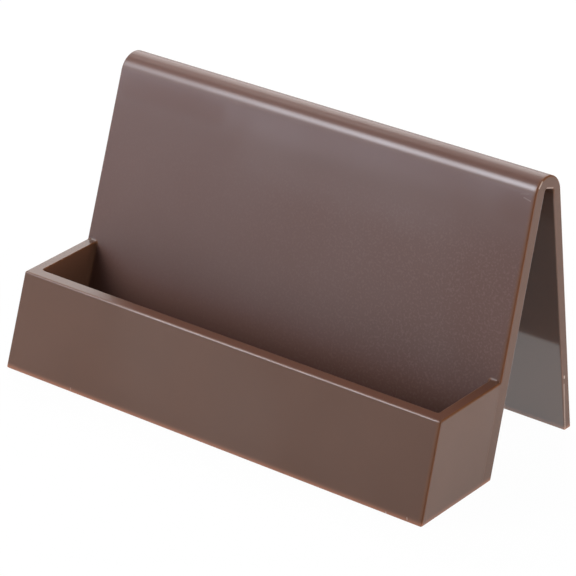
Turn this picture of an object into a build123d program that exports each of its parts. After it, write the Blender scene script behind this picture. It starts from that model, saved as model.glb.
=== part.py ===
from build123d import *
from math import cos, radians, sin, tan
import os

# A business card stand of brown plastic, in millimetres. X runs along the cards, Y runs from the
# tray in front to the leg behind, Z is up, and the origin is on the desk under the middle of the stand.

# Driving dimensions
WIDTH = 100.0  # across the two ends, at the desk
HEIGHT = 52.9  # from the desk to the top of the bend
TRAY_DEPTH = 20.65  # at the desk, from the front wall's face to the panel's back
RIM_HEIGHT = 18.25  # from the desk to the tray's rim
PANEL = 2.75  # thickness of the panel
WALL = 2.3  # thickness of the tray's walls
FLOOR = 2.4  # thickness of the tray's floor
LEG_TOP = 2.2  # thickness of the leg where it leaves the bend
LEG_TOE = 1.95  # thickness of the leg where it stands on the desk
BEND_OUTSIDE = 3.95  # outside radius of the top bend
BEND_INSIDE = 1.5  # inside radius of the top bend
PANEL_LEAN = 19.2  # degrees from upright, of the panel and the tray's front wall
LEG_LEAN = 3.1  # degrees from upright, of the leg's outer face
END_DRAFT = 1.3  # degrees by which each end leans inwards
EDGE_ROUND = 0.3  # radius of the outer edges
MOUTH_ROUND = 0.25  # radius of the rim's inner edge
POCKET_ROUND = 0.6  # radius of the tray's upright inner corners

# What follows from them. Heights are measured from the desk, and depths from the front wall's foot.
lean = radians(PANEL_LEAN)
leg_lean = radians(LEG_LEAN)
draft = radians(END_DRAFT)
slant_wall = WALL / cos(lean)
end_wall = WALL / cos(draft)
panel_foot = TRAY_DEPTH - PANEL / cos(lean)
bend_height = HEIGHT - BEND_OUTSIDE
bend_depth = panel_foot + bend_height * tan(lean) + BEND_OUTSIDE / cos(lean)
leg_foot = bend_depth + BEND_OUTSIDE / cos(leg_lean) + bend_height * tan(leg_lean)
toe = leg_foot - LEG_TOE
inner_leg_slope = tan(leg_lean) + (LEG_TOP - LEG_TOE) / bend_height


def meeting(front_foot, front_slope, back_foot, back_slope):
    """Where a line that leans back from its foot meets one that leans forward from a foot behind it."""
    height = (back_foot - front_foot) / (front_slope + back_slope)
    return front_foot + height * front_slope, height


def half_width(height, inset=0.0):
    """Half of the stand's width at a height, or that of a face set in from its ends."""
    return WIDTH / 2 - inset - height * tan(draft)


def end_wedge(inset=0.0):
    """All the room between the two drafted end faces, or between faces set in from them."""
    corners = [
        (-half_width(0, inset), 0),
        (half_width(0, inset), 0),
        (half_width(HEIGHT, inset), HEIGHT),
        (-half_width(HEIGHT, inset), HEIGHT),
    ]
    return extrude(Plane.XZ * make_face(Polyline(*corners, close=True)), leg_foot, both=True)


def slanted_block(front_foot, back_foot, bottom, top):
    """A block across the full width between two faces that lean as the panel does."""
    corners = [
        (front_foot + bottom * tan(lean), bottom),
        (back_foot + bottom * tan(lean), bottom),
        (back_foot + top * tan(lean), top),
        (front_foot + top * tan(lean), top),
    ]
    return extrude(Plane.YZ * make_face(Polyline(*corners, close=True)), WIDTH / 2, both=True)


# The sheet with the panel, the bend and the leg, from its end: a sharp fold, rounded inside and outside
sheet_outline = Polyline(
    (panel_foot, 0),
    meeting(panel_foot, tan(lean), leg_foot, tan(leg_lean)),
    (leg_foot, 0),
    (toe, 0),
    meeting(TRAY_DEPTH, tan(lean), toe, inner_leg_slope),
    (TRAY_DEPTH, 0),
    close=True,
)
sheet_end = make_face(sheet_outline)
sheet_end = fillet(sheet_end.vertices().sort_by(Axis.Y)[-2], BEND_INSIDE)
sheet_end = fillet(sheet_end.vertices().sort_by(Axis.Y)[-1], BEND_OUTSIDE)
sheet = extrude(Plane.YZ * sheet_end, WIDTH / 2, both=True)

# The room for the cards, with rounded upright corners at the front wall
pocket = slanted_block(slant_wall, panel_foot, FLOOR, RIM_HEIGHT) & end_wedge(end_wall)
pocket_front = pocket.faces().sort_by(Axis.Y)[0]
pocket = fillet(pocket_front.edges().filter_by(Axis.X, reverse=True), POCKET_ROUND)

# The whole stand, with the mouth of the tray and all outer edges rounded
stand = (sheet + slanted_block(0, panel_foot, 0, RIM_HEIGHT)) & end_wedge()
stand = stand - pocket


def end_edges(part):
    """The outlines of the two drafted end faces."""
    ends = part.faces().sort_by(Axis.X)
    return ends[0].edges() + ends[-1].edges()


def rim_edges(part):
    """The edges of the tray's level rim, from its front to where it meets the panel."""
    return part.faces().filter_by(Plane.XY).sort_by(Axis.Z)[-1].edges().sort_by(Axis.Y)


front_to_panel = rim_edges(stand)
stand = fillet(front_to_panel[1:-2] - end_edges(stand), MOUTH_ROUND)
desk_edges = stand.edges().filter_by(Axis.X).group_by(Axis.Z)[0]
stand = fillet(end_edges(stand) + desk_edges + rim_edges(stand)[:1], EDGE_ROUND)

# The joints between the pieces: flat faces, flush outside and inside
panel_face = Plane((0, panel_foot, 0), x_dir=(1, 0, 0), z_dir=(0, cos(lean), -sin(lean)))
floor_room = slanted_block(slant_wall, panel_foot, 0, FLOOR) & end_wedge(end_wall)


def mitre(side):
    """The plane that halves a front corner of the tray, facing the front wall. Right is 1, left is -1."""
    corner_foot = Vector(side * half_width(0), 0, 0)
    corner_top = Vector(side * half_width(RIM_HEIGHT), RIM_HEIGHT * tan(lean), RIM_HEIGHT)
    inner_foot = Vector(side * half_width(0, end_wall), slant_wall, 0)
    up_the_corner = corner_top - corner_foot
    facing = up_the_corner.cross(inner_foot - corner_foot) * side
    return Plane(corner_foot, x_dir=up_the_corner, z_dir=facing)


tray = split(stand, panel_face, keep=Keep.BOTTOM)
walls = tray - floor_room
front_and_right = split(walls, mitre(-1), keep=Keep.TOP)
pieces = {
    "easel_sheet": split(stand, panel_face, keep=Keep.TOP),
    "tray_floor": tray & floor_room,
    "tray_front": split(front_and_right, mitre(1), keep=Keep.TOP),
    "tray_left_end": split(walls, mitre(-1), keep=Keep.BOTTOM),
    "tray_right_end": split(walls, mitre(1), keep=Keep.BOTTOM),
}

# Each piece is set on the origin and written to its own file
footprint = stand.bounding_box()
to_origin = Pos(0, -footprint.center().Y, 0)
os.makedirs("parts", exist_ok=True)
for name, piece in pieces.items():
    export_step(to_origin * piece, f"parts/{name}.step")
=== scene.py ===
from math import atan, cos, radians, sin, tan

import bmesh
import bpy
import numpy as np
from mathutils import Matrix, Vector


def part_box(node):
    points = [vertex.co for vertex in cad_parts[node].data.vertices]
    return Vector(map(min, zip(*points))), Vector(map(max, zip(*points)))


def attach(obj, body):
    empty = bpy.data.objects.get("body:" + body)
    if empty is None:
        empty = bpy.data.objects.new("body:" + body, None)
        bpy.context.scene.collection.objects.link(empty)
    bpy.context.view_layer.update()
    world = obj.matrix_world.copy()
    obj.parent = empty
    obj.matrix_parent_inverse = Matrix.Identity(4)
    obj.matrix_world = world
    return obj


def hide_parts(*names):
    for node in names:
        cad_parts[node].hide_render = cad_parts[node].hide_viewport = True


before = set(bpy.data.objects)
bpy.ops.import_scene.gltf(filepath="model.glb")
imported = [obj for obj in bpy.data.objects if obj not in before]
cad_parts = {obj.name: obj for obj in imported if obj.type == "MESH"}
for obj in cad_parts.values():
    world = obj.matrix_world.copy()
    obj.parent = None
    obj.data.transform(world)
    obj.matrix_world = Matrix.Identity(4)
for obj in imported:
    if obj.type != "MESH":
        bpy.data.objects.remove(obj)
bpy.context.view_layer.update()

# The easel sheet: the tilted back panel, the round bend at the top and the rear leg, in one piece.
# It is a strip of brown plastic, bent once and thinner at the leg, with drafted ends and rounded edges.
# Its outside has the fine grain of the mould, and its inside is polished.
MM = 0.001
WIDTH = 100.0 * MM
PANEL = 2.75 * MM
LEG_TOP = 2.2 * MM
LEG_TOE = 1.95 * MM
BEND_OUTSIDE = 3.95 * MM
BEND_INSIDE = 1.5 * MM
FOLD_RISE = 0.40 * MM  # from the top of a plain inside round to the fold's flat
FOLD_ROUND = 0.5 * MM
PANEL_LEAN = radians(19.2)
LEG_LEAN = radians(3.1)
END_DRAFT = radians(1.3)
EDGE_ROUND = 0.30 * MM
FOOT_ROUND = 0.35 * MM
FOOT_CLEAR = 0.6 * MM  # from the panel's foot to the next points up its front
SUPPORT = 0.04 * MM  # from the end of a flat run to the extra points that keep it flat
ROUND_STEPS = 8
BEND_STEPS = 40
FOLD_STEPS = 16
FLAT_STEPS = 8
PANEL_STEPS = 31
LEG_STEPS = 24
WIDTH_STEPS = 24

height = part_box("easel_sheet")[1].z
rim_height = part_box("tray_front")[1].z
panel_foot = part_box("easel_sheet")[0].y
panel_back_foot = panel_foot + PANEL / cos(PANEL_LEAN)
bend_height = height - BEND_OUTSIDE
bend_depth = panel_foot + bend_height * tan(PANEL_LEAN) + BEND_OUTSIDE / cos(PANEL_LEAN)
leg_foot = bend_depth + BEND_OUTSIDE / cos(LEG_LEAN) + bend_height * tan(LEG_LEAN)
leg_toe = leg_foot - LEG_TOE
inner_slope = tan(LEG_LEAN) + (LEG_TOP - LEG_TOE) / bend_height
inner_lean = atan(inner_slope)
inner_width = BEND_INSIDE / cos(PANEL_LEAN) + BEND_INSIDE / cos(inner_lean)
inner_height = (leg_toe - panel_back_foot - inner_width) / (tan(PANEL_LEAN) + inner_slope)


def half_width(z):
    """Half of the stand's width at a height: it shrinks evenly with the draft of the ends."""
    return WIDTH / 2 - z * tan(END_DRAFT)


def straight(start, end, shares):
    """Points on a straight run, at shares of the way from its start to its end."""
    return np.asarray(start) + np.outer(shares, np.subtract(end, start))


def run_shares(length, count, support=SUPPORT):
    """Even shares of a run, ends left out, with one more point close to each end to keep the run flat."""
    even = np.linspace(0, 1, count)[1:-1]
    return np.concatenate([[support / length], even, [1 - support / length]])


def arc(centre, radius, start, end, steps):
    """Points on a circle about a centre, from one angle to another, in even steps."""
    angle = np.linspace(start, end, steps + 1)
    return np.asarray(centre) + radius * np.stack([np.cos(angle), np.sin(angle)], 1)


def corner_arc(corner, before, after, radius, steps):
    """An arc that rounds a corner: its centre is on the bisector, at the radius over the sine of half the
    angle, and its points blend the two radii that touch the runs, so that they turn in even steps."""
    corner = np.asarray(corner)
    back = np.subtract(before, corner)
    back = back / np.linalg.norm(back)
    on = np.subtract(after, corner)
    on = on / np.linalg.norm(on)
    half = np.arccos(back @ on) / 2
    centre = corner + (back + on) / np.linalg.norm(back + on) * radius / np.sin(half)
    first = corner + back * radius / np.tan(half) - centre
    last = corner + on * radius / np.tan(half) - centre
    sweep = np.pi - 2 * half
    share = np.linspace(0, 1, steps + 1)
    weights = np.stack([np.sin((1 - share) * sweep), np.sin(share * sweep)], 1) / np.sin(sweep)
    return centre + weights @ np.stack([first, last])


# The bend: one round outside, and inside a flat, square to the panel, between two small rounds
outer_bend = arc((bend_depth, bend_height), BEND_OUTSIDE, np.pi - PANEL_LEAN, LEG_LEAN, BEND_STEPS)
fold_height = inner_height + BEND_INSIDE + FOLD_RISE
fold_depth = panel_back_foot + fold_height * tan(PANEL_LEAN)
fold_gap = leg_toe - fold_height * inner_slope - fold_depth
fold_width = fold_gap / (cos(PANEL_LEAN) - sin(PANEL_LEAN) * inner_slope)
panel_corner = (fold_depth, fold_height)
leg_corner = (fold_depth + fold_width * cos(PANEL_LEAN), fold_height - fold_width * sin(PANEL_LEAN))
panel_round = corner_arc(panel_corner, (panel_back_foot, 0), leg_corner, FOLD_ROUND, FOLD_STEPS)
leg_round = corner_arc(leg_corner, panel_corner, (leg_toe, 0), FOLD_ROUND, FOLD_STEPS)
fold_flat = straight(panel_round[-1], leg_round[0], np.linspace(0, 1, FLAT_STEPS + 1)[1:-1])
inner_bend = np.concatenate([panel_round, fold_flat, leg_round])

# The panel's front has no point close to its foot, and an arc's spread where the rim's round runs out
ramp_turn = np.linspace(0, np.pi / 2, ROUND_STEPS + 1)
low_heights = np.linspace(FOOT_CLEAR, rim_height - EDGE_ROUND, ROUND_STEPS)[:-1]
ramp_heights = rim_height - EDGE_ROUND + EDGE_ROUND * np.sin(ramp_turn)
high_count = PANEL_STEPS + ROUND_STEPS - len(low_heights) - len(ramp_heights)
high_heights = np.linspace(rim_height, outer_bend[0, 1] - SUPPORT, high_count + 1)[1:]
panel_heights = np.concatenate([[0.0], low_heights, ramp_heights, high_heights])

# The outside and the inside have the same number of points, so that rungs between them fill the ends
foot_arc = corner_arc((leg_foot, 0), outer_bend[-1], (leg_toe, 0), FOOT_ROUND, ROUND_STEPS)
toe_arc = corner_arc((leg_toe, 0), inner_bend[-1], (leg_foot, 0), FOOT_ROUND, ROUND_STEPS)
back_arc = corner_arc((panel_back_foot, 0), (panel_foot, 0), inner_bend[0], FOOT_ROUND, ROUND_STEPS)
outer_line = np.concatenate([
    straight((panel_foot, 0), outer_bend[0], panel_heights / outer_bend[0, 1]),
    outer_bend,
    straight(outer_bend[-1], foot_arc[0], run_shares(height, LEG_STEPS)),
    foot_arc,
])
inner_line = np.concatenate([
    back_arc,
    straight(back_arc[-1], inner_bend[0], run_shares(height, PANEL_STEPS)),
    inner_bend,
    straight(inner_bend[-1], toe_arc[0], run_shares(height, LEG_STEPS)),
    toe_arc,
])
outline = np.concatenate([outer_line, inner_line[::-1]])


def outward(line):
    """The outward direction at each point of a closed outline: square to the mean of the two runs there."""
    ahead = np.roll(line, -1, axis=0) - line
    ahead = ahead / np.linalg.norm(ahead, axis=1, keepdims=True)
    along = ahead + np.roll(ahead, 1, axis=0)
    along = along / np.linalg.norm(along, axis=1, keepdims=True)
    return np.stack([-along[:, 1], along[:, 0]], 1)


def sharpness(line):
    """How sharply a closed outline turns at each point: its curvature times the edges' radius, up to 1."""
    ahead = np.roll(line, -1, axis=0) - line
    length = np.linalg.norm(ahead, axis=1)
    way = np.unwrap(np.arctan2(ahead[:, 1], ahead[:, 0]))
    turned = np.abs((way - np.roll(way, 1) + np.pi) % (2 * np.pi) - np.pi)
    return np.clip(turned / (length + np.roll(length, 1)) * 2 * EDGE_ROUND, 0, 1)


# The round of the ends stops at the rim: below it the tray's end walls are flush with the panel's ends
inset_way = -outward(outline)
end_round = np.full(len(outline), EDGE_ROUND)
low_panel = slice(1, 1 + len(low_heights))
ramp = slice(low_panel.stop, low_panel.stop + len(ramp_heights))
inset_way[0] = (tan(PANEL_LEAN), 1.0)
end_round[low_panel] = 0.0
end_round[ramp] = EDGE_ROUND * (1 - np.cos(ramp_turn))

# Rows from the right end to the left: a flat support, a quarter round, the body, a quarter round, a support
turn = np.linspace(0, np.pi / 2, ROUND_STEPS + 1)
body_shares = 1 - 2 * run_shares(WIDTH, WIDTH_STEPS)
still = np.zeros(len(body_shares))
across = np.concatenate([np.full(ROUND_STEPS + 2, 1.0), body_shares, np.full(ROUND_STEPS + 2, -1.0)])
reach = np.concatenate([[1.0], np.sin(turn[::-1]), still, -np.sin(turn), [-1.0]])
inset = 1 - np.sqrt(1 - reach * reach)
extra = np.zeros(len(inset))
extra[[0, -1]] = SUPPORT

move = np.outer(inset, end_round) + extra[:, None]
section = outline + move[:, :, None] * inset_way
x = across[:, None] * (half_width(section[..., 1]) - end_round) + reach[:, None] * end_round
sheet_grid = np.concatenate([x[..., None], section], axis=2)

# Marks on the points, from 0 to 1, tell the material which finish a face has: the sheet's grained outside,
# the outside of the front wall or the ends, the polished inside, or the rim painted dark as painted shade.
# Edge marks the edges that get a painted warm glow of light through the thin plastic, and glow the places
# painted with a glow of light coming through
MARKS = ("grained", "front", "end", "inner", "edge", "glow", "rim")
SHEET_END = 0.7  # of the end walls' finish, on the sheet's own ends
INNER_EDGE = 0.5  # of the outer edges' painted glow, on the inner ones

on_outer = np.arange(len(outline)) < len(outer_line)
in_fold = ~on_outer & (outline[:, 1] > inner_height)
off_end = np.abs(reach) < 1.0
rounding = 2 * np.abs(reach) * np.sqrt(1 - reach * reach)
sheet_edge = np.maximum(np.outer(rounding, end_round / EDGE_ROUND), np.outer(off_end, sharpness(outline)))
sheet_marks = {
    "grained": np.outer(off_end, on_outer),
    "end": np.outer(~off_end, np.full(len(outline), SHEET_END)),
    "inner": np.outer(off_end, ~on_outer & ~in_fold),
    # The painted edge glow goes on every edge but the rounds of the left end, which face the lamps
    "edge": sheet_edge * np.outer(reach >= 0, np.where(on_outer, 1.0, INNER_EDGE)),
}


class Shade:
    """A socket of a material's node tree. Arithmetic on it adds Math nodes, and node adds any other node."""

    FIRST_COLOUR = 6  # places of the Mix node's colour sockets, whose names aren't unique
    SECOND_COLOUR = 7
    MIXED_COLOUR = 2

    def __init__(self, tree, socket=None):
        self.tree = tree
        self.socket = socket

    def node(self, kind, settings=None, sockets=None, output=0):
        """Adds a node of a kind with its settings, then its sockets' values or links. Returns an output."""
        made = self.tree.nodes.new("ShaderNode" + kind)
        for name, value in (settings or {}).items():
            setattr(made, name, value)
        for name, value in (sockets or {}).items():
            if isinstance(value, Shade):
                self.tree.links.new(value.socket, made.inputs[name])
            else:
                made.inputs[name].default_value = value
        return Shade(self.tree, made.outputs[output] if made.outputs else None)

    def math(self, operation, first, second=0.0):
        """A Math node on two values."""
        return self.node("Math", {"operation": operation}, {0: first, 1: second})

    def __add__(self, other):
        return self.math("ADD", self, other)

    def __radd__(self, other):
        return self.math("ADD", other, self)

    def __sub__(self, other):
        return self.math("SUBTRACT", self, other)

    def __rsub__(self, other):
        return self.math("SUBTRACT", other, self)

    def __mul__(self, other):
        return self.math("MULTIPLY", self, other)

    def __rmul__(self, other):
        return self.math("MULTIPLY", other, self)

    def step(self, low, high):
        """0 below low, 1 above high, and a smooth rise between."""
        sockets = {"Value": self, "From Min": low, "From Max": high}
        return self.node("MapRange", {"interpolation_type": "SMOOTHSTEP"}, sockets)

    def mixed(self, first, second):
        """The first colour where this value is 0 and the second where it is 1."""
        sockets = {0: self, self.FIRST_COLOUR: first, self.SECOND_COLOUR: second}
        return self.node("Mix", {"data_type": "RGBA"}, sockets, self.MIXED_COLOUR)


BROWN = (0.114, 0.0525, 0.0318, 1.0)
BROWN_DEEP = (0.108, 0.0498, 0.0300, 1.0)
# The panel's flat is painted a little darker than the bend, as painted shade
BROWN_BEND = (0.120, 0.0550, 0.0410, 1.0)
BROWN_FLAT_SHADED = (0.1116, 0.0512, 0.0381, 1.0)
BROWN_SPECK = (0.220, 0.1350, 0.1150, 1.0)
# The rim's brown is painted darker, as painted shade where the panel shades the rim
BROWN_RIM_SHADED = (0.100, 0.0372, 0.0200, 1.0)
# The inside is painted lighter low down, as painted light from the table, fading to the plain brown up in
# the fold
BROWN_INNER_LIT = (0.150, 0.0690, 0.0430, 1.0)
BROWN_FOLD = (0.112, 0.0515, 0.0320, 1.0)
# A painted warm glow of light through the thin plastic, on the edges that face away from the lamps
BROWN_EDGE_GLOW = (0.146, 0.0560, 0.0245, 1.0)
# Painted glows of light coming through the plastic, at the feet and under the rims; the second is for the
# inside
BROWN_FOOT_GLOW = (0.400, 0.1720, 0.1000, 1.0)
BROWN_TOE_GLOW = (0.700, 0.3300, 0.2000, 1.0)
# A pale colour for painted highlights on edges and for pale nicks
PALE = (0.600, 0.4500, 0.3800, 1.0)

PLAIN_ROUGHNESS = 0.30
FRONT_ROUGHNESS = 0.42
END_ROUGHNESS = 0.25
INNER_ROUGHNESS = 0.10
PLAIN_COAT = 0.03
GRAIN_COAT = 0.22
BEND_COAT = 0.27
FRONT_COAT = 0.16
END_COAT = 0.33
INNER_COAT = 1.0
GLOSSY_COAT = 0.06
MATT_COAT = 0.30
BODY_IOR = 1.3
COAT_IOR = 1.8

# Noises, each by its scale and detail: clouds in the colour, the grain, slow waves, and patches of gloss
CLOUD = (60.0, 3.0)
GRAIN = (2400.0, 1.0)
WAVE = (140.0, 1.0)
PATCH = (45.0, 2.0)
NOISE_MEAN = 0.5

# Where each change starts and ends, as values of the noise or as heights, widths and distances
CLOUD_STEP = (0.35, 0.65)
SPECK_STEP = (0.48, 0.70)
SPECK_SIDE = (-30.0 * MM, 40.0 * MM)
SPECK_TOP = (36.0 * MM, 48.0 * MM)
FLAT_TOP = (43.0 * MM, 50.0 * MM)
INNER_LIGHT_FADE = (8.0 * MM, 30.0 * MM)
FOOT_GLOW = 1.5 * MM
END_GLOW_WIDTH = 1.1 * MM

# Shares: of specks at the left and at the right, of the foot's glow that the ends lose, and of uneven gloss
SPECK_LEFT = 0.05
SPECK_RIGHT = 0.21
END_FOOT_LOSS = 0.4
UNEVEN_SHEET = 0.8
UNEVEN_TRAY = 1.1

# The relief: the grain's share of it beside the slow waves, and how strong and how high it is
GRAIN_RELIEF = 0.15
BUMP_STRENGTH = 0.4
BUMP_HEIGHT = 0.02 * MM

# Places along a line, each by the two ends of its middle line, its radius in millimetres and its share.
# RUBBED changes the gloss of the front wall, GLOSS that of the panel. The pale marks are painted highlights
# on some edges, and pale nicks and spots.
RUBBED = ((-13.5, -18.9, 11.4), (4.9, -20.9, 5.7), 18.0, 0.6)
GLOSS = [
    ((-12.0, 10.0, 43.5), (28.0, 10.0, 43.5), 8.0, 0.30),
    ((47.0, 1.5, 19.0), (45.0, 6.8, 34.0), 14.0, -0.4),
    ((46.0, 11.6, 47.8), (44.0, 11.6, 47.8), 4.0, -0.3),
    ((-46.0, 11.6, 47.8), (-24.0, 11.6, 47.8), 3.2, -0.35),
]
PALE_MARKS = [
    # Two faint pale lines across the panel's top by its right end
    ((46.51, 12.19, 49.66), (47.96, 12.1, 49.4), 0.17, 0.16),
    ((45.71, 12.34, 50.1), (47.31, 12.46, 50.44), 0.15, 0.05),
    # Painted highlights: on the round of the bend's right end, on the edge over the fold's top, and along
    # the leg's right edge
    ((48.83, 13.54, 51.58), (48.81, 14.55, 52.53), 0.24, 0.6),
    ((48.8, 15.9, 50.71), (48.81, 17.6, 50.12), 0.26, 0.5),
    ((49.78, 20.69, 9.64), (49.99, 20.93, 0.42), 0.24, 0.35),
    # A pale nick at the top of that line, a pale spot on the leg's inside, and pale nicks on the front
    # wall's bottom edge
    ((49.74, 20.77, 11.26), (49.75, 20.77, 10.95), 0.24, 0.8),
    ((42.61, 21.18, 7.85), (42.64, 21.15, 7.25), 0.45, 0.12),
    ((42.05, -22.73, 0.33), (42.12, -22.79, 0.14), 0.20, 0.6),
    ((46.66, -22.57, 0.78), (46.77, -22.68, 0.46), 0.14, 0.6),
    ((-33.45, -22.58, 0.75), (-33.38, -22.68, 0.46), 0.2, 0.3),
]
LINE_CORE = 0.3  # of the radius, where the share is whole


def near_line(place, start, end, radius, share):
    """A share that is whole close to the line between two points and fades out at a radius. The distance is
    taken to the line's nearest point, which the dot product with the line gives, kept between its ends."""
    start = Vector(start) * MM
    run = Vector(end) * MM - start
    per_run = run / run.length_squared
    offset = place.node("VectorMath", {"operation": "SUBTRACT"}, {0: place, 1: start})
    along = place.node("VectorMath", {"operation": "DOT_PRODUCT"}, {0: offset, 1: per_run}, "Value")
    along = place.math("MINIMUM", place.math("MAXIMUM", along, 0.0), 1.0)
    nearest = place.node("VectorMath", {"operation": "SCALE"}, {0: run, "Scale": along})
    gap = place.node("VectorMath", {"operation": "DISTANCE"}, {0: offset, 1: nearest}, "Value")
    return share * (1.0 - gap.step(LINE_CORE * radius * MM, radius * MM))


def brown_plastic(name):
    """Brown moulded plastic under a thin gloss. The marks choose the brown, the roughness and the gloss of
    each finish. Painted light and shade go on it: a warm glow on thin edges and a glow where light comes
    through, the rim darker, the inside lighter low down, the flat a little darker than the bend, and pale
    highlights on some edges beside pale nicks. Noises add the grain, clouds and uneven gloss. Two shaders
    are mixed: matt on the panel's flat, and glossy elsewhere."""
    material = bpy.data.materials.new(name)
    material.use_nodes = True
    tree = material.node_tree
    tree.nodes.clear()
    start = Shade(tree)
    place = start.node("TexCoord", output="Object")
    side, up = [start.node("SeparateXYZ", {}, {0: place}, axis) for axis in "XZ"]
    grained, front, end, inner, edge, glow, rim = [
        start.node("Attribute", {"attribute_name": mark}, output="Fac") for mark in MARKS
    ]
    cloud, grain, wave, patch = [
        start.node("TexNoise", {}, {"Vector": place, "Scale": scale, "Detail": detail})
        for scale, detail in (CLOUD, GRAIN, WAVE, PATCH)
    ]
    flat = grained * (1.0 - up.step(*FLAT_TOP))

    body = cloud.step(*CLOUD_STEP).mixed(BROWN, BROWN_DEEP)
    speck_share = SPECK_LEFT + (SPECK_RIGHT - SPECK_LEFT) * side.step(*SPECK_SIDE)
    speck = grain.step(*SPECK_STEP) * (speck_share * (1.0 - up.step(*SPECK_TOP)))
    # On the grained outside, the flat is painted a little darker than the bend, as painted shade
    grained_body = speck.mixed(flat.mixed(BROWN_BEND, BROWN_FLAT_SHADED), BROWN_SPECK)
    # Painted light: the inside is lighter low down, where the table lights it
    inner_painted_light = up.step(*INNER_LIGHT_FADE).mixed(BROWN_INNER_LIT, BROWN_FOLD)
    # The rim is painted darker here, as painted shade
    faces = inner.mixed(rim.mixed(grained.mixed(body, grained_body), BROWN_RIM_SHADED), inner_painted_light)

    # A painted warm glow on thin edges and along the ends of the panel and the front wall, where the gloss
    # is taken off
    from_end = WIDTH / 2 - up * tan(END_DRAFT) - side
    painted_end_glow = (grained + front) * (1.0 - from_end.step(0.0, END_GLOW_WIDTH))
    painted_edge = start.math("MAXIMUM", edge, painted_end_glow)
    # A painted glow of light coming through, at the feet and wherever the glow mark is
    near_foot = 1.0 - up.step(0.0, FOOT_GLOW)
    foot = near_foot * near_foot * (1.0 - END_FOOT_LOSS * end)
    through = start.math("MAXIMUM", foot, glow)
    painted_glow_colour = inner.mixed(BROWN_FOOT_GLOW, BROWN_TOE_GLOW)
    # Pale marks: painted highlights on some edges, and pale nicks and spots
    pale_share = 0.0
    for line in PALE_MARKS:
        pale_share = start.math("MAXIMUM", near_line(place, *line), pale_share)
    colour = pale_share.mixed(through.mixed(painted_edge.mixed(faces, BROWN_EDGE_GLOW), painted_glow_colour), PALE)

    roughness = (
        PLAIN_ROUGHNESS
        + (grained + front) * (FRONT_ROUGHNESS - PLAIN_ROUGHNESS)
        + end * (END_ROUGHNESS - PLAIN_ROUGHNESS)
        + inner * (INNER_ROUGHNESS - PLAIN_ROUGHNESS)
    )
    coat = (
        PLAIN_COAT
        + grained * (BEND_COAT - PLAIN_COAT)
        + flat * (GRAIN_COAT - BEND_COAT)
        + front * (FRONT_COAT - PLAIN_COAT)
        + end * (END_COAT - PLAIN_COAT)
        + inner * (INNER_COAT - PLAIN_COAT)
    ) * (1.0 - painted_edge)
    uneven = 1.0 + (patch - NOISE_MEAN) * (UNEVEN_SHEET * grained + UNEVEN_TRAY * (front + end))
    uneven = uneven + front * near_line(place, *RUBBED)
    for line in GLOSS:
        uneven = uneven + grained * near_line(place, *line)

    relief = grain * (GRAIN_RELIEF * grained) + wave * (1.0 - inner)
    bump = start.node("Bump", {}, {"Strength": BUMP_STRENGTH, "Distance": BUMP_HEIGHT, "Height": relief})
    sockets = {
        "Base Color": colour,
        "Roughness": roughness,
        "IOR": BODY_IOR,
        "Coat Weight": coat * uneven,
        "Coat IOR": COAT_IOR,
        "Normal": bump,
    }
    glossy, matt = [
        start.node("BsdfPrincipled", {}, sockets | {"Coat Roughness": coat_roughness})
        for coat_roughness in (GLOSSY_COAT, MATT_COAT)
    ]
    surface = start.node("MixShader", {}, {0: flat, 1: glossy, 2: matt})
    start.node("OutputMaterial", {}, {"Surface": surface})
    return material


plastic = brown_plastic("brown_plastic")

MERGE_GAP = 0.0001 * MM
SLIVER = 0.00001 * MM
SHARP_EDGE = radians(35)


def mesh_of(name, grid, faces):
    """A mesh from a grid of points and from faces, given as rows of point numbers."""
    mesh = bpy.data.meshes.new(name)
    mesh.from_pydata(grid.reshape(-1, 3).tolist(), [], faces.tolist())
    return mesh


def strip_mesh(name, grid, half_count):
    """A closed solid from a grid whose rows are closed outlines: quads join each row to the next, and each
    end is filled by a ladder of quads between the outline's first half and its second, run backwards."""
    rows, columns = grid.shape[:2]
    index = np.arange(rows * columns).reshape(rows, columns)
    on = np.roll(index, -1, axis=1)
    sides = np.stack([index[:-1], on[:-1], on[1:], index[1:]], -1).reshape(-1, 4)
    ends = []
    for row, order in ((0, 1), (-1, -1)):
        outer = index[row, :half_count]
        inner = index[row, half_count:][::-1]
        rungs = np.stack([outer[:-1], inner[:-1], inner[1:], outer[1:]], -1)
        ends.append(rungs[:, ::order])
    return mesh_of(name, grid, np.concatenate([sides, *ends]))


def moulded(mesh, marks):
    """The brown plastic piece from its mesh: marks are stored on the points, 0 where none is given, points
    that coincide are merged, and faces are smooth but for the sharp edges."""
    plain = np.zeros(len(mesh.vertices))
    for mark in MARKS:
        values = np.ravel(marks.get(mark, plain)).astype(np.float32)
        mesh.attributes.new(mark, "FLOAT", "POINT").data.foreach_set("value", values)
    work = bmesh.new()
    work.from_mesh(mesh)
    bmesh.ops.remove_doubles(work, verts=work.verts, dist=MERGE_GAP)
    bmesh.ops.dissolve_degenerate(work, edges=work.edges, dist=SLIVER)
    work.to_mesh(mesh)
    work.free()
    mesh.polygons.foreach_set("use_smooth", [True] * len(mesh.polygons))
    mesh.set_sharp_from_angle(angle=SHARP_EDGE)
    mesh.materials.append(plastic)
    piece = bpy.data.objects.new(mesh.name, mesh)
    bpy.context.collection.objects.link(piece)
    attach(piece, "root")
    return piece


sheet = moulded(strip_mesh("easel_sheet_moulding", sheet_grid, len(outer_line)), sheet_marks)
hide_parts("easel_sheet")

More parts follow.
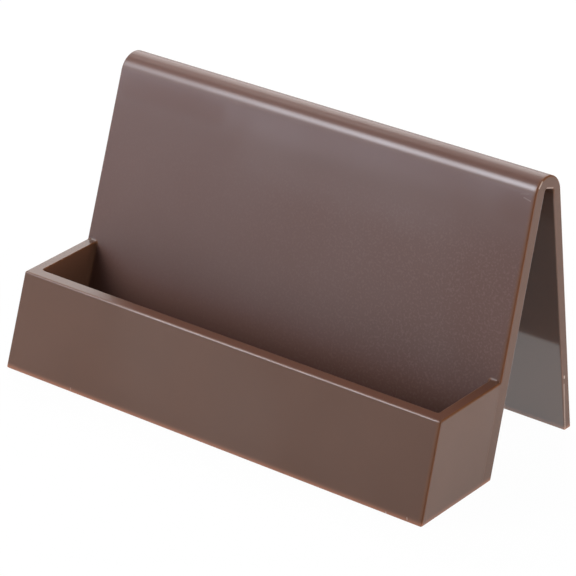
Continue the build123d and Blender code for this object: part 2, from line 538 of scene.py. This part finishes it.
# The tray's walls: the front wall, which leans back as the panel does, and the two upright end walls.
# They are plates of the same brown plastic, mitred and cemented at the front corners, with rounded rims.
WALL = 2.3 * MM
FLOOR = 2.4 * MM
TRAY_DEPTH = 20.65 * MM
MOUTH_ROUND = 0.25 * MM
POCKET_ROUND = 0.6 * MM
JOINT_ROUND = 0.5 * MM
RIM_POINTS = (0.7 * MM, 1.1 * MM)  # across the flat of the rim
WALL_STEPS = 18
CORNER_STEPS = 16
END_STEPS = 10
FRONT_STEPS = 25
END_SUPPORT = 0.005  # this and the next one as shares of a wall's run
FRONT_SUPPORT = 0.0005
front_foot = panel_back_foot - TRAY_DEPTH

rim_depths = np.array([EDGE_ROUND + SUPPORT, *RIM_POINTS, WALL - MOUTH_ROUND - SUPPORT])
outer_wall = np.concatenate([
    corner_arc((0, 0), (WALL, 0), (0, rim_height), EDGE_ROUND, ROUND_STEPS),
    straight((0, EDGE_ROUND), (0, rim_height - EDGE_ROUND), run_shares(rim_height, WALL_STEPS)),
    corner_arc((0, rim_height), (0, 0), (WALL, rim_height), EDGE_ROUND, ROUND_STEPS),
    np.stack([rim_depths, np.full(len(rim_depths), rim_height)], 1),
])
inner_steps = len(outer_wall) - ROUND_STEPS - 2
inner_wall = np.concatenate([
    [(WALL, 0)],
    straight((WALL, 0), (WALL, rim_height - MOUTH_ROUND), run_shares(rim_height, inner_steps)),
    corner_arc((WALL, rim_height), (WALL, 0), (0, rim_height), MOUTH_ROUND, ROUND_STEPS),
])
wall_outline = np.concatenate([outer_wall, inner_wall[::-1]])
wall_out = outward(wall_outline)
depth, level = wall_outline.T

# How far each point swells into the joint's round: none on the outer face, and smoothly all behind its edge
swell = np.clip((depth - EDGE_ROUND) / EDGE_ROUND, 0, 1) * (level > FLOOR)
swell = swell * swell * (3 - 2 * swell)


def end_wall_rows(leave, lift):
    """Rows of the right end wall: the wall's outline set a distance in front of the panel, and near the
    panel swelled by lift on its rim and inner face, so that a small round fills the corner there."""
    d = depth + lift[:, None] * swell * wall_out[:, 0]
    z = level + lift[:, None] * swell * wall_out[:, 1]
    y = panel_foot + z * tan(PANEL_LEAN) - leave[:, None]
    return np.stack([half_width(z) - d / cos(END_DRAFT), y, z], 2)


def corner_rows(angle):
    """Rows round the right front corner: at each depth in the wall an arc in plan, over angles counted from
    the end wall's face to the front wall's, whose radius grows from the outer edge's to the pocket's."""
    angle = angle[:, None]
    radius = EDGE_ROUND + (POCKET_ROUND - EDGE_ROUND) * depth / WALL
    end_face = half_width(level) - depth / cos(END_DRAFT)
    front_face = front_foot + level * tan(PANEL_LEAN) + depth / cos(PANEL_LEAN)
    x = end_face - radius + radius * np.cos(angle)
    y = front_face + radius - radius * np.sin(angle)
    return np.stack([x, y, np.broadcast_to(level, x.shape)], 2)


def rows_between(first, last, shares):
    """Rows on straight lines from each point of the first row to its like in the last, at given shares."""
    return first + (last - first) * shares[:, None, None]


# Rows from the panel along the right end wall, round the corner, along the front and back at the left
joint_turn = np.linspace(np.pi / 2, 0, ROUND_STEPS + 1)
joint_rows = end_wall_rows(JOINT_ROUND * (1 - np.sin(joint_turn)), JOINT_ROUND * (1 - np.cos(joint_turn)))
right_corner = corner_rows(np.linspace(0, np.pi / 2, CORNER_STEPS + 1))
end_rows = rows_between(joint_rows[-1], right_corner[0], run_shares(1.0, END_STEPS, END_SUPPORT))
right_rows = np.concatenate([joint_rows, end_rows, right_corner])
left_rows = right_rows * (-1, 1, 1)
front_rows = rows_between(right_rows[-1], left_rows[-1], run_shares(1.0, FRONT_STEPS, FRONT_SUPPORT))
wall_grid = np.concatenate([right_rows, front_rows, left_rows[::-1]])

half_corner = CORNER_STEPS // 2
right_mitre = len(right_rows) - 1 - half_corner
left_mitre = len(wall_grid) - 1 - right_mitre
row_number = np.arange(len(wall_grid))
on_front = (row_number >= right_mitre + half_corner) & (row_number <= left_mitre - half_corner)
on_end = (row_number < right_mitre - half_corner) | (row_number > left_mitre + half_corner)
off_joint = (row_number > len(joint_rows)) & (row_number < len(wall_grid) - 1 - len(joint_rows))
right_rounding = slice(right_mitre - half_corner, right_mitre + half_corner + 1)
right_turn = np.zeros(len(wall_grid))
right_turn[right_rounding] = np.sin(np.linspace(0, np.pi, CORNER_STEPS + 1))

# The rim is painted dark, as painted shade of the panel, and its front edge has a faint shine: a polished
# strip, painted lighter, and a painted highlight. Towards the left both give way to a satin gloss
# MOUTH_GLOW is a painted glow on the walls' inside below the rim, RIM_EDGE the painted edge glow on the end
# walls' rim edges, and RIM_GLOW a painted highlight on the front edge
MOUTH_GLOW = 0.20
GLOW_DEPTH = 7.0 * MM
SKIN = 0.1 * MM
RIM_EDGE = 0.9
RIM_SHINE = 0.10
RIM_GLOW = 0.08
LEFT_SHINE = 0.44
SHINE_START = 0.10  # these four as shares of the rows from the left corner to the right one
SHINE_END = 0.34
RIM_SHADE_START = 0.28
RIM_SHADE_END = 0.35

outside = depth < EDGE_ROUND - SUPPORT / 2
on_rim = level > rim_height - SUPPORT / 2
rim_turn = sharpness(wall_outline) * (level > rim_height / 2)
low_turn = sharpness(wall_outline) * (level < rim_height / 2)
front_edge = rim_turn * (depth < WALL / 2)
# A painted glow on the walls' inside, strongest at the rim and gone at GLOW_DEPTH below it
below_rim = np.clip((level - rim_height) / GLOW_DEPTH + 1, 0, 1)
mouth_glow = MOUTH_GLOW * below_rim**2 * (depth > WALL - SUPPORT)
along_front = (left_mitre - row_number) / (left_mitre - right_mitre)
shine_share = np.clip((along_front - SHINE_START) / (SHINE_END - SHINE_START), 0, 1)
rim_shade_share = np.clip((along_front - RIM_SHADE_START) / (RIM_SHADE_END - RIM_SHADE_START), 0, 1)
wall_marks = {
    "front": np.outer(on_front, outside),
    "end": np.outer(on_end, outside) + LEFT_SHINE * np.outer(1 - rim_shade_share, on_rim),
    "inner": np.outer(on_front * shine_share, RIM_SHINE * front_edge),
    # Painted edge glow on the walls' bottom edges, the end walls' rim edges and the right front corner
    "edge": np.maximum(low_turn + np.outer(on_end, RIM_EDGE * rim_turn), np.outer(right_turn, depth < SKIN)),
    # A painted glow under the rim and a painted highlight along the front edge
    "glow": np.outer(off_joint, mouth_glow) + np.outer(on_front, RIM_GLOW * front_edge),
    # The rim painted dark, as painted shade of the panel, from about a third of the way along the front to
    # the right end
    "rim": np.outer(off_joint * rim_shade_share, on_rim),
}

for name, first, last in (
    ("tray_right_end", 0, right_mitre),
    ("tray_front", right_mitre, left_mitre),
    ("tray_left_end", left_mitre, len(wall_grid) - 1),
):
    rows = slice(first, last + 1)
    marks = {mark: values[rows] for mark, values in wall_marks.items()}
    wall = moulded(strip_mesh(name + "_wall", wall_grid[rows], len(outer_wall)), marks)
    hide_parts(name)

# The tray's floor: a plate of the same plastic cemented between the walls and the panel's foot.
# The cards stand on it, and a small round runs along the walls.
FLOOR_ROUND = 0.4 * MM
BACK_ROUND = 0.05 * MM  # of the two corners at the panel
OUTLINE_STEPS = 24
TOP_RINGS = (0.75, 0.4, 0.0)  # as shares of the outline, down to a point in the middle
UNDER_RINGS = (0.0, 0.5)

inside = half_width(FLOOR) - WALL / cos(END_DRAFT)
front_inside = front_foot + WALL / cos(PANEL_LEAN) + FLOOR * tan(PANEL_LEAN)
panel_at_floor = panel_foot + FLOOR * tan(PANEL_LEAN)
floor_corners = [
    ((inside, panel_at_floor), (0, panel_at_floor), (inside, front_inside), BACK_ROUND),
    ((inside, front_inside), (inside, panel_at_floor), (0, front_inside), POCKET_ROUND),
    ((-inside, front_inside), (0, front_inside), (-inside, panel_at_floor), POCKET_ROUND),
    ((-inside, panel_at_floor), (-inside, front_inside), (0, panel_at_floor), BACK_ROUND),
]
corner_points = [corner_arc(*corner, ROUND_STEPS) for corner in floor_corners]
between = np.linspace(0, 1, OUTLINE_STEPS)[1:-1]
floor_outline = np.concatenate([
    np.concatenate([points, straight(points[-1], following[0], between)])
    for points, following in zip(corner_points, corner_points[1:] + corner_points[:1])
])

# Rings from the middle of the underside out to its edge, up, round over the top's edge and in to the middle
floor_middle = np.array([0, (front_inside + panel_at_floor) / 2])
floor_in = outward(floor_outline)
round_turn = np.linspace(np.pi / 2, 0, ROUND_STEPS + 1)
ring_inset = np.concatenate([[0.0], FLOOR_ROUND * (1 - np.sin(round_turn))])
ring_level = np.concatenate([[0.0], FLOOR + FLOOR_ROUND * (1 - np.cos(round_turn))])
edge_rings = floor_outline[None] + ring_inset[:, None, None] * floor_in
top_rings = floor_middle + (edge_rings[-1] - floor_middle) * np.array(TOP_RINGS)[:, None, None]
under_rings = floor_middle + (edge_rings[0] - floor_middle) * np.array(UNDER_RINGS)[:, None, None]
plan = np.concatenate([under_rings, edge_rings, top_rings])
row_levels = np.concatenate([np.zeros(len(UNDER_RINGS)), ring_level, np.full(len(TOP_RINGS), FLOOR)])
levels = row_levels[:, None] + np.zeros(len(floor_outline))
lean_back = (levels - FLOOR) * tan(PANEL_LEAN)
floor_grid = np.stack([plan[..., 0], plan[..., 1] + lean_back, levels], 2)


def ring_mesh(name, grid):
    """A closed solid from a grid whose rows are closed rings, the first and last shrunk to a point."""
    rows, columns = grid.shape[:2]
    index = np.arange(rows * columns).reshape(rows, columns)
    on = np.roll(index, -1, axis=1)
    faces = np.stack([index[:-1], index[1:], on[1:], on[:-1]], -1).reshape(-1, 4)
    return mesh_of(name, grid, faces)


plate = moulded(ring_mesh("tray_floor_plate", floor_grid), {})
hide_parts("tray_floor")

# The table: a plain white surface, which shows white to the camera and in reflections,
# and still takes a little of the stand's shadow.
TABLE_RADIUS = 0.45
TABLE_DROP = 0.05 * MM
TABLE_POINTS = 64
PAPER = (0.92, 0.92, 0.92, 1.0)
WHITE = (1.0, 1.0, 1.0, 1.0)
WHITE_SHARE = 0.98

angle = np.linspace(0, 2 * np.pi, TABLE_POINTS + 1)[:-1]
table_level = np.full(TABLE_POINTS, -TABLE_DROP)
table_edge = np.stack([TABLE_RADIUS * np.cos(angle), TABLE_RADIUS * np.sin(angle), table_level], 1)
table_mesh = mesh_of("table", table_edge, np.arange(TABLE_POINTS)[None])
table = bpy.data.objects.new("table", table_mesh)
bpy.context.collection.objects.link(table)


def any_ray(start, *kinds):
    """1 for a ray of any of the kinds that are named, else 0: the largest of the Light Path values."""
    largest = 0.0
    for kind in kinds:
        largest = start.math("MAXIMUM", start.node("LightPath", output=kind), largest)
    return largest


white_table = bpy.data.materials.new("white_table")
white_table.use_nodes = True
white_table.node_tree.nodes.clear()
start = Shade(white_table.node_tree)
paper = start.node("BsdfDiffuse", {}, {"Color": PAPER})
white_glow = start.node("Emission", {}, {"Color": WHITE, "Strength": 1.0})
seen_white = any_ray(start, "Is Camera Ray", "Is Glossy Ray", "Is Transmission Ray") * WHITE_SHARE
lit = start.node("MixShader", {}, {0: seen_white, 1: paper, 2: white_glow})
start.node("OutputMaterial", {}, {"Surface": lit})
table_mesh.materials.append(white_table)

# The light: a white tent, dim in reflections from above and from the right, and seven soft lamps.
# The wide, back and high lamps light the stand and shine on it, the bright one only shines, as the line on
# the bend, and the left, right and rear lamps only light.
SKY = 0.10
DIM_SHARE = 0.9
DIM_RIGHT = (-0.35, 0.05)  # a direction's parts to the right, and below upwards, over which it turns dim
DIM_CEILING = (sin(radians(50)), sin(radians(66)))

world = bpy.data.worlds.new("tent")
bpy.context.scene.world = world
world.use_nodes = True
world.node_tree.nodes.clear()
start = Shade(world.node_tree)
way = start.node("TexCoord", output="Generated")
rightwards, upwards = [start.node("SeparateXYZ", {}, {0: way}, axis) for axis in "XZ"]
dim = start.math("MAXIMUM", rightwards.step(*DIM_RIGHT), upwards.step(*DIM_CEILING))
shown = 1 - DIM_SHARE * dim
straight_on = any_ray(start, "Is Camera Ray", "Is Transmission Ray")
mirrored = any_ray(start, "Is Glossy Ray")
strength = SKY + straight_on * (1 - SKY) + mirrored * (shown - SKY)
sky = start.node("Background", {}, {"Color": WHITE, "Strength": strength})
start.node("OutputWorld", {}, {"Surface": sky})

EVEN = ((0.1, 0.1), (0.1, 0.1))
SOFT = ((0.3, 0.3), (0.3, 0.3))


def soft_lamp(
    name, azimuth, elevation, distance, width, tall, brightness,
    roll=0, colour=WHITE[:3], fade=EVEN, shines=True, lights=True,
):
    """A rectangular lamp that faces the stand's foot from an azimuth, counted from the front towards the
    left, and an elevation, in degrees, rolled about its own axis. Brightness is the light that its face
    sends out, where 1 is white. It rises smoothly from nothing at each edge over a share of the size, given
    for the two sides, then for below and above."""
    azimuth, elevation = radians(azimuth), radians(elevation)
    way = Vector((-sin(azimuth) * cos(elevation), -cos(azimuth) * cos(elevation), sin(elevation)))
    lamp = bpy.data.lights.new(name, "AREA")
    lamp.shape = "RECTANGLE"
    lamp.size = width
    lamp.size_y = tall
    lamp.energy = brightness * width * tall * np.pi
    lamp.color = colour
    lamp.use_nodes = True
    lamp.node_tree.nodes.clear()
    start = Shade(lamp.node_tree)
    face = start.node("NewGeometry", output="Parametric")
    level = 1.0
    for direction, (low, high) in zip("XY", fade):
        place = start.node("SeparateXYZ", {}, {0: face}, direction)
        level = level * place.step(0.0, low) * (1.0 - place.step(1.0 - high, 1.0))
    start.node("OutputLight", {}, {"Surface": start.node("Emission", {}, {"Strength": level})})
    holder = bpy.data.objects.new(name, lamp)
    facing = way.to_track_quat("Z", "Y").to_matrix().to_4x4() @ Matrix.Rotation(radians(roll), 4, "Z")
    holder.matrix_world = Matrix.Translation(way * distance) @ facing
    holder.visible_camera = False
    holder.visible_glossy = shines
    holder.visible_diffuse = lights
    bpy.context.collection.objects.link(holder)


soft_lamp(
    "wide_lamp", azimuth=38, elevation=22.6, roll=13, distance=0.45, width=0.38, tall=0.20, brightness=1.9,
    colour=(0.84, 0.97, 1.22), fade=((0.15, 0.15), (0.12, 0.5)),
)
soft_lamp(
    "bright_lamp", azimuth=48.2, elevation=44.1, roll=40.5, distance=0.479, width=0.308, tall=0.33,
    brightness=14.0, colour=(0.95, 1.0, 1.10), fade=((0.6, 0.1), (0.5, 0.5)), lights=False,
)
soft_lamp(
    "left_lamp", azimuth=46, elevation=30, distance=0.50, width=0.30, tall=0.25, brightness=7.2,
    shines=False,
)
soft_lamp("back_lamp", azimuth=140, elevation=28, distance=0.80, width=0.50, tall=0.50, brightness=1.9)
soft_lamp(
    "high_lamp", azimuth=108, elevation=52, distance=0.80, width=0.30, tall=0.25, brightness=1.3, fade=SOFT,
)
soft_lamp(
    "right_lamp", azimuth=-100, elevation=25, distance=0.65, width=0.70, tall=0.50, brightness=4.0,
    shines=False,
)
soft_lamp(
    "rear_lamp", azimuth=145, elevation=52, distance=0.45, width=0.25, tall=0.25, brightness=8.5,
    shines=False,
)

# The camera: a long lens from the right in front and above, turned a little about its own axis.
# Its place and lens were fitted to the straight edges of the stand.
AZIMUTH = radians(39.913)
ELEVATION = radians(26.663)
ROLL = radians(-1.513)
CAMERA_DISTANCE = 619.76 * MM
CAMERA_AIM = Vector((1.837, 0.151, 23.320)) * MM
FOCAL_PIXELS = 3352.755
IMAGE_PIXELS = 576
SENSOR_WIDTH = 36.0  # in millimetres, as the lens's length is

back = Vector((sin(AZIMUTH) * cos(ELEVATION), -cos(AZIMUTH) * cos(ELEVATION), sin(ELEVATION)))
level_right = (-back).cross(Vector((0, 0, 1))).normalized()
level_up = level_right.cross(-back)
right = cos(ROLL) * level_right + sin(ROLL) * level_up
up = cos(ROLL) * level_up - sin(ROLL) * level_right
lens = bpy.data.cameras.new("camera")
lens.sensor_width = SENSOR_WIDTH
lens.lens = FOCAL_PIXELS / IMAGE_PIXELS * SENSOR_WIDTH
camera = bpy.data.objects.new("camera", lens)
turned = Matrix((right, up, back)).transposed().to_4x4()
camera.matrix_world = Matrix.Translation(CAMERA_AIM + back * CAMERA_DISTANCE) @ turned
bpy.context.collection.objects.link(camera)
bpy.context.scene.camera = camera
bpy.context.scene.view_settings.view_transform = "Standard"
